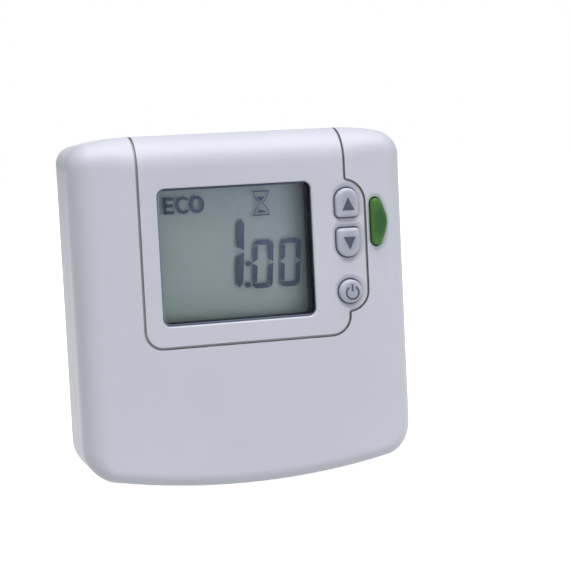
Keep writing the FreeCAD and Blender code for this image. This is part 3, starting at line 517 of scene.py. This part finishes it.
def one_segments(centre, foot, height, stroke):
    """The two strokes of a one. Their middle ends slope to a wedge that is open to the left."""
    half, tip = stroke / 2, stroke * 0.75
    join, slit = foot + height * 0.53, 0.3
    lower = [
        (centre, foot),
        (centre + half, foot + tip),
        (centre + half, join - slit),
        (centre - half, join - slit - stroke * 0.6),
        (centre - half, foot + tip),
    ]
    upper = [
        (centre, foot + height),
        (centre - half, foot + height - tip),
        (centre - half, join + slit + stroke * 0.5),
        (centre + half, join + slit),
        (centre + half, foot + height - tip),
    ]
    return [lower, upper]


def time_digits(material):
    """One hour to run, as 1:00."""
    shape = bmesh.new()
    outlines = one_segments(-0.56, 4.75, 18.4, 2.04)
    for left in (3.02, 10.62):
        outlines += zero_segments(left, FOOT_Z, 5.58, 12.85, 1.25, 0.22)
    for outline in outlines:
        plate(shape, leaning(outline), *LAYER)
    for z in (5.45, 11.1):
        plate(shape, leaning(arc_points(1.75, z, 0.76, 0.76, 0, 345, 23)), *LAYER)
    return finish_piece("time_digits", to_mesh(shape, "time_digits"), material, "housing")


def mode_legend(material):
    """The economy mode's legend: E, C and O in bold strokes."""
    foot, cap, weight = 25.35, 4.45, 0.87
    half = weight / 2
    shape = bmesh.new()
    left = -19.95
    for z, reach in ((foot + half, 2.85), (foot + cap / 2, 2.55), (foot + cap - half, 2.85)):
        ribbon(shape, [(left + half, z), (left + reach, z)], weight, *LAYER)
    ribbon(shape, [(left + half, foot), (left + half, foot + cap)], weight, *LAYER)
    middle, tall = foot + cap / 2, cap / 2 + 0.1 - half
    ribbon(shape, arc_points(left + 5.35, middle, 1.62, tall, 42, 318, 28), weight, *LAYER)
    ribbon(shape, arc_points(left + 9.05, middle, 1.52, tall, 0, 348, 29), weight, *LAYER, closed=True)
    return finish_piece("mode_legend", to_mesh(shape, "mode_legend"), material, "housing")


def running_symbol(material):
    """An hourglass: two bars, two glass walls that meet at the neck, and sand above and below."""
    x, z = 6.55, 26.95
    tall, wide, neck = 3.15, 2.25, 0.22  # half sizes of the glass
    bar_line, wall_line = 0.34, 0.24
    overhang = 0.15
    shape = bmesh.new()
    for side in (-1, 1):
        edge = z + side * tall
        ribbon(shape, [(x - wide - overhang, edge), (x + wide + overhang, edge)], bar_line, *LAYER)
    steps = 16
    bowl = wide - 0.35 - neck
    for face in (-1, 1):
        wall = []
        for n in range(steps + 1):
            t = -1 + 2 * n / steps
            bulge = neck + bowl * (1 - (1 - abs(t)) ** 2.4) ** 1.1
            wall.append((x + face * bulge, z + t * (tall - bar_line / 2)))
        ribbon(shape, wall, wall_line, *LAYER)
    sand_above = [(-1.2, 1.75), (0.0, 1.6), (1.2, 1.75), (0.1, 0.45), (-0.1, 0.45)]
    sand_below = [(-1.35, -2.55), (-0.55, -1.95), (0.0, -1.7), (0.55, -1.95), (1.35, -2.55)]
    for heap in (sand_above, sand_below):
        plate(shape, [(x + dx, z + dz) for dx, dz in heap], *LAYER)
    return finish_piece("running_symbol", to_mesh(shape, "running_symbol"), material, "housing")


# ---------- printed keys ----------

PRINT_THICKNESS = 0.02


def key_face(key):
    """The plane of a key's top, and its centre, in millimetres."""
    low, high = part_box(key)
    return low.y / MM, (low.x + high.x) / 2 / MM, (low.z + high.z) / 2 / MM


def arrow_print(name, key, centre_z, direction, material):
    """A triangle that points up or down."""
    face_y, centre_x, _ = key_face(key)
    half, tall = 1.7, 3.5
    tip, base = centre_z + direction * tall / 2, centre_z - direction * tall / 2
    corners = [(centre_x - half, base), (centre_x + half, base), (centre_x, tip)]
    shape = bmesh.new()
    plate(shape, corners, face_y - PRINT_THICKNESS, face_y)
    return finish_piece(name, to_mesh(shape, name), material, key)


def power_print(material):
    """The standby symbol: a ring, open at the top, with a bar in the opening."""
    face_y, centre_x, centre_z = key_face("power_key")
    centre_x, centre_z = centre_x + 0.15, centre_z - 0.35
    radius, weight = 1.7, 0.5
    opening = 32  # degrees to either side of the top
    shape = bmesh.new()
    depth = (face_y - PRINT_THICKNESS, face_y)
    ring = arc_points(centre_x, centre_z, radius, radius, 90 + opening, 450 - opening, 40)
    ribbon(shape, ring, weight, *depth)
    ribbon(shape, [(centre_x, centre_z + 0.4), (centre_x, centre_z + radius + 0.6)], weight, *depth)
    return finish_piece("power_print", to_mesh(shape, "power_print"), material, "power_key")


# ---------- repeated small pieces, by Geometry Nodes ----------


def new_tree(name, sizes):
    """A Geometry Nodes tree with a named input for each size. Returns the tree and its sockets by name."""
    tree = bpy.data.node_groups.new(name, "GeometryNodeTree")
    tree.interface.new_socket("Geometry", in_out="OUTPUT", socket_type="NodeSocketGeometry")
    for label, value in sizes.items():
        kind = "NodeSocketInt" if isinstance(value, int) else "NodeSocketFloat"
        tree.interface.new_socket(label, in_out="INPUT", socket_type=kind)
    return tree, add(tree, "NodeGroupInput").outputs


def end_tree(tree, geometry, material):
    """Ends a tree in real, smooth geometry with its material."""
    real = add(tree, "GeometryNodeRealizeInstances", links={"Geometry": geometry})
    links = {"Geometry": real.outputs["Geometry"]}
    dressed = add(tree, "GeometryNodeSetMaterial", {"Material": material}, links)
    add(tree, "NodeGroupOutput", links={"Geometry": dressed.outputs["Geometry"]})


def grown_mesh(name, tree, sizes, place):
    """The plain mesh that a tree gives for these sizes, moved to its place."""
    host = bpy.data.objects.new(name, bpy.data.meshes.new(name))
    bpy.context.scene.collection.objects.link(host)
    modifier = host.modifiers.new("shape", "NODES")
    modifier.node_group = tree
    for item in tree.interface.items_tree:
        if item.in_out == "INPUT" and item.name in sizes:
            modifier[item.identifier] = sizes[item.name]
    graph = bpy.context.evaluated_depsgraph_get()
    mesh = bpy.data.meshes.new_from_object(host.evaluated_get(graph))
    bpy.data.objects.remove(host)
    mesh.transform(place)
    return mesh


COIL = {
    "Turns": 3.0,
    "Wide radius": 4.05 * MM,
    "Narrow radius": 2.5 * MM,
    "Length": 4.3 * MM,
    "Wire radius": 0.35 * MM,
}


def coil_tree(material):
    """A conical coil of round wire along +Z."""
    tree, given = new_tree("coil", COIL)
    spiral = add(
        tree,
        "GeometryNodeCurveSpiral",
        {"Resolution": 40},
        {
            "Rotations": given["Turns"],
            "Start Radius": given["Wide radius"],
            "End Radius": given["Narrow radius"],
            "Height": given["Length"],
        },
    )
    wire_radius = {"Radius": given["Wire radius"]}
    section = add(tree, "GeometryNodeCurvePrimitiveCircle", {"Resolution": 14}, wire_radius)
    links = {"Curve": spiral.outputs["Curve"], "Profile Curve": section.outputs["Curve"]}
    wire = add(tree, "GeometryNodeCurveToMesh", {"Fill Caps": True}, links)
    end_tree(tree, wire.outputs["Mesh"], material)
    return tree


def battery_coils(material):
    """The two coils that press the cells against their far contacts."""
    tree = coil_tree(material)
    low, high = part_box("battery_springs")
    wire = COIL["Wire radius"]
    sizes = dict(COIL, Length=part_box("upper_cell")[0].x - low.x - 2 * wire)
    centre_y = (low.y + high.y) / 2
    coils = []
    for side, cell, root_x in ((-1, "upper_cell", low.x + wire), (1, "lower_cell", high.x - wire)):
        cell_low, cell_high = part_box(cell)
        root = Vector((root_x, centre_y, (cell_low.z + cell_high.z) / 2))
        turn = Matrix.Rotation(-side * math.pi / 2, 4, "Y")
        coils.append(grown_mesh("coil", tree, sizes, Matrix.Translation(root) @ turn))
    mesh = join_meshes("battery_coils", coils)
    mesh.shade_smooth()
    piece = finish_piece("battery_coils", mesh, material, "housing")
    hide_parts("battery_springs")
    return piece


def grid_tree(name, material):
    """Low round pads on a grid in X and Y, facing +Z."""
    sizes = {"Columns": 2, "Rows": 2, "Width": 1.0, "Depth": 1.0, "Radius": 1.0, "Height": 1.0}
    tree, given = new_tree(name, sizes)
    links = {
        "Size X": given["Width"],
        "Size Y": given["Depth"],
        "Vertices X": given["Columns"],
        "Vertices Y": given["Rows"],
    }
    points = add(tree, "GeometryNodeMeshGrid", links=links)
    pad_links = {"Radius": given["Radius"], "Depth": given["Height"]}
    pad = add(tree, "GeometryNodeMeshCylinder", {"Vertices": 20}, pad_links)
    placed = add(
        tree,
        "GeometryNodeInstanceOnPoints",
        links={"Points": points.outputs["Mesh"], "Instance": pad.outputs["Mesh"]},
    )
    end_tree(tree, placed.outputs["Instances"], material)
    return tree


def pads(name, tree, centre, columns, rows, width, depth, radius, height, turned=-1):
    """A grid of pads in the plane of a board or plate, all sizes in millimetres."""
    sizes = {
        "Columns": columns,
        "Rows": rows,
        "Width": width * MM,
        "Depth": depth * MM,
        "Radius": radius * MM,
        "Height": height * MM,
    }
    place = Matrix.Translation(Vector(centre) * MM) @ Matrix.Rotation(turned * math.pi / 2, 4, "X")
    return grown_mesh(name, tree, sizes, place)


def join_meshes(name, meshes):
    shape = bmesh.new()
    for mesh in meshes:
        shape.from_mesh(mesh)
    return to_mesh(shape, name)


def board_vias(material):
    """Tinned through-holes in rows on both faces of the circuit board."""
    tree = grid_tree("via_grid", material)
    low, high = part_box("circuit_board")
    front, back = low.y / MM, high.y / MM
    fields = [
        ((-34.0, 24.0), 3, 9, 4.0, 16.0),
        ((-12.0, 38.0), 12, 1, 24.0, 0.0),
        ((6.0, -5.5), 14, 2, 30.0, 1.8),
        ((35.5, 8.0), 2, 6, 2.2, 9.0),
    ]
    meshes = []
    for (x, z), columns, rows, width, tall in fields:
        for y in (front - 0.01, back + 0.01):
            meshes.append(pads("via", tree, (x, y, z), columns, rows, width, tall, 0.42, 0.06))
    piece = finish_piece("board_vias", join_meshes("board_vias", meshes), material, "housing")
    return piece


def ejector_marks(material):
    """The round witness marks that a mould's ejector pins leave in the plate's back."""
    tree = grid_tree("mark_grid", material)
    depth = 0.6
    meshes = []
    for side_x in (-1, 1):
        for side_z in (-1, 1):
            centre = (side_x * 22.0, -depth + 0.02, side_z * 22.0)
            meshes.append(pads("mark", tree, centre, 2, 2, 22.0, 20.0, 2.0, 0.08))
    mesh = join_meshes("ejector_marks", meshes)
    return finish_piece("ejector_marks", mesh, material, "wall_plate")


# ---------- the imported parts' materials ----------


def dress_nodes():
    """Gives every CAD node its material."""
    case = moulded_abs("satin_abs", "#dbdeea", "#d7dae6")
    plate_abs = moulded_abs("plate_abs", "#d5d6de", "#cdced6", 0.5, 0.8)
    frame_abs = moulded_abs("frame_abs", "#e4e4e2", "#dcdcda", 0.5)
    nickel = plain_metal("nickel_spring_steel", "#c9c5bb", "#aaa79d", 0.3, 1.2, (1.0, 1.0, 6.0))
    tin = plain_metal("tin_plate", "#d2d2ce", "#b7b7b3", 0.35, 0.7)
    zinc = plain_metal("zinc_plated_steel", "#c4c7cb", "#9ea2a8", 0.34, 0.5)
    epoxy = moulded_epoxy("moulded_epoxy", "#2a2a2c", "#1d1d1f")
    mask = solder_mask()
    by_node = {
        "wall_plate": plate_abs,
        "rear_case": case,
        "front_cover": case,
        "display_bezel": case,
        "display_surround": black_abs(),
        "display_lens": coated_polycarbonate(),
        "front_polariser": clear_sheet("polarising_film", "#8f9c98", 0.06, 0.25),
        "display_cell": clear_sheet("display_glass", "#a9b5b2", 0.03, 0.08),
        "rear_reflector": transflective_film(),
        "light_guide": clear_sheet("clear_acrylic", "#eef3f3", 0.35, 0.06),
        "backlight_leds": phosphor_package(),
        "display_holder": frame_abs,
        "contact_strips": carbon_rubber(),
        "eco_key": key_silicone("eco_key", "green_silicone", "#4a8735", "#305c2a", 0.5),
        "key_guide": frame_abs,
        "key_mat": silicone("mat_silicone", "#c6c8ce", "#b4b6bd", 4.0),
        "contact_pills": carbon_rubber(),
        "contact_pads": plain_metal("gold_flash", "#d9b255", "#c49a3c", 0.25, 0.6),
        "circuit_board": mask,
        "microcontroller": epoxy,
        "radio_board": mask,
        "radio_shield": tin,
        "antenna": plain_metal("enamelled_copper", "#b9683c", "#9c5230", 0.3, 0.8),
        "crystal": tin,
        "capacitors": plain_metal("drawn_aluminium", "#d5d6d9", "#bfc0c4", 0.28, 0.9, (1.0, 0.15, 1.0)),
        "chip_parts": moulded_epoxy("sintered_ceramic", "#7b6a58", "#655646"),
        "power_regulator": epoxy,
        "temperature_sensor": moulded_epoxy("dipped_epoxy", "#3a2f26", "#2b231d"),
        "battery_tray": moulded_abs("tray_abs", "#c8c9cf", "#bfc0c7", 0.5),
        "contact_bridge": nickel,
        "contact_tabs": nickel,
        "battery_springs": nickel,
        "case_screws": zinc,
        "bezel_screws": zinc,
        "tray_screws": zinc,
    }
    for node, place in (("up_key", "up"), ("down_key", "down"), ("power_key", "round")):
        by_node[node] = key_silicone(node, "grey_silicone_" + place, "#d2d6e6", "#b4b8c8")
    for node, side in (("upper_cell", 1), ("lower_cell", -1)):
        low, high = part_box(node)
        tip_x = high.x if side > 0 else low.x
        by_node[node] = cell_sleeve(tip_x, tip_x - side * 14.0 * MM)
    for node, material in by_node.items():
        slots = nodes[node].material_slots
        for slot in slots:
            slot.link = "OBJECT"
            slot.material = material
    return {"nickel": nickel, "tin": tin, "plate": plate_abs}


# ---------- studio ----------

CAMERA_PLACE = Vector((-0.111885, -0.445914, 0.041966))
CAMERA_AIM = Vector((0.27794, 0.95696, -0.08355))
CAMERA_UP = Vector((0.07071, 0.06636, 0.99529))
LENS_MM = 105.43
FLOOR_RADIUS = 6.0


def studio_camera():
    """The camera, a little to the left of the unit and above it, leaning slightly."""
    data = bpy.data.cameras.new("studio_camera")
    data.lens = LENS_MM
    data.sensor_width = 36.0
    data.clip_start = 0.01
    camera = bpy.data.objects.new("studio_camera", data)
    bpy.context.scene.collection.objects.link(camera)
    back = -CAMERA_AIM.normalized()
    right = CAMERA_UP.cross(back).normalized()
    up = back.cross(right)
    turn = Matrix((right, up, back)).transposed().to_4x4()
    camera.matrix_world = Matrix.Translation(CAMERA_PLACE) @ turn
    bpy.context.scene.camera = camera


def softbox(name, place, aim, size, power, mirrored=True):
    """A rectangular studio light that the camera doesn't see. Glossy surfaces show it if it is mirrored."""
    data = bpy.data.lights.new(name, "AREA")
    data.shape = "RECTANGLE"
    data.size, data.size_y = size
    data.energy = power
    light = bpy.data.objects.new(name, data)
    light.visible_glossy = mirrored
    light.visible_camera = False
    bpy.context.scene.collection.objects.link(light)
    light.location = place
    light.rotation_euler = (Vector(aim) - Vector(place)).to_track_quat("-Z", "Y").to_euler()


def stage_piece(name, shape, material, unseen_by):
    """A piece of the studio, which isn't part of the object, and the kinds of ray that pass it by."""
    mesh = bpy.data.meshes.new(name)
    shape.to_mesh(mesh)
    shape.free()
    mesh.materials.append(material)
    piece = bpy.data.objects.new(name, mesh)
    for ray in unseen_by:
        setattr(piece, "visible_" + ray, False)
    bpy.context.scene.collection.objects.link(piece)
    return piece


def studio_room():
    """A pale floor, and a white dome round it that only the camera sees. Neither one lights the unit."""
    low, _ = cad_box
    settings = {"Emission Color": linear("#ffffff"), "Emission Strength": 0.75}
    paint, tree, shader, place = new_surface("floor_paint", "#f2f2f4", 0.7, settings=settings)
    grain = add(tree, "ShaderNodeTexNoise", {"Scale": per_metre(8), "Detail": 2.0}, {"Vector": place})
    tree.links.new(two_tones(tree, grain.outputs["Fac"], "#ececee", "#f0f0f2"), shader.inputs["Base Color"])
    disc = bmesh.new()
    bmesh.ops.create_circle(disc, cap_ends=True, segments=96, radius=FLOOR_RADIUS)
    floor = stage_piece("floor", disc, paint, ("diffuse", "shadow"))
    floor.location.z = low.z

    glow, glow_tree = empty_material("dome_glow")
    lamp = add(glow_tree, "ShaderNodeEmission", {"Color": linear("#ffffff"), "Strength": 1.0})
    add(glow_tree, "ShaderNodeOutputMaterial", links={"Surface": lamp.outputs["Emission"]})
    ball = bmesh.new()
    bmesh.ops.create_icosphere(ball, subdivisions=4, radius=FLOOR_RADIUS - 0.1)
    stage_piece("dome", ball, glow, ("diffuse", "glossy", "transmission", "shadow"))


def studio_light():
    """Soft light: an even room, a broad light from above that reaches the whole floor, a softbox over the
    unit, one at its right that grades the front, and weak fills from the left, from below and from behind.
    The low one shines up through the floor and stands for the light that a white floor throws back."""
    world = bpy.data.worlds.new("studio")
    world.use_nodes = True
    world.node_tree.nodes.clear()
    sky = add(world.node_tree, "ShaderNodeBackground", {"Color": linear("#ffffff"), "Strength": 0.305})
    add(world.node_tree, "ShaderNodeOutputWorld", links={"Surface": sky.outputs["Background"]})
    bpy.context.scene.world = world
    overhead = bpy.data.lights.new("overhead_light", "SUN")
    overhead.energy = 1.75
    overhead.angle = math.radians(60)
    lamp = bpy.data.objects.new("overhead_light", overhead)
    lamp.rotation_euler = Vector((-0.05, 0.27, -1.0)).to_track_quat("-Z", "Y").to_euler()
    bpy.context.scene.collection.objects.link(lamp)
    softbox("top_softbox", (0.0, -0.3, 0.68), (0.0, 0.0, 0.03), (0.9, 0.3), 1.5)
    softbox("right_softbox", (0.36, -0.5, 0.06), (0.04, 0.0, 0.0), (0.2, 0.2), 0.45, mirrored=False)
    softbox("left_fill", (-0.68, -0.32, 0.2), (0.0, 0.0, 0.0), (0.4, 0.5), 0.3, mirrored=False)
    softbox("low_fill", (0.05, -0.35, -0.5), (0.0, 0.0, 0.0), (0.5, 0.3), 0.45, mirrored=False)
    softbox("rear_fill", (0.3, 0.8, 0.08), (0.0, 0.0, 0.0), (0.5, 0.4), 0.7)
    bpy.context.scene.view_settings.view_transform = "Standard"
    # Light passes the clear faces of the lens, film and glass on its way in, and again on its way out.
    bpy.context.scene.cycles.transparent_max_bounces = 32


made = dress_nodes()
crystal_and_painted_shade = liquid_crystal(FOOT_Z * MM, 30.0 * MM)
time_digits(crystal_and_painted_shade)
mode_legend(crystal_and_painted_shade)
running_symbol(crystal_and_painted_shade)
ink = pad_ink()
arrow_print("up_print", "up_key", 25.69, 1, ink)
arrow_print("down_print", "down_key", 15.17, -1, ink)
power_print(ink)
battery_coils(made["nickel"])
board_vias(made["tin"])
ejector_marks(made["plate"])
studio_room()
studio_light()
studio_camera()
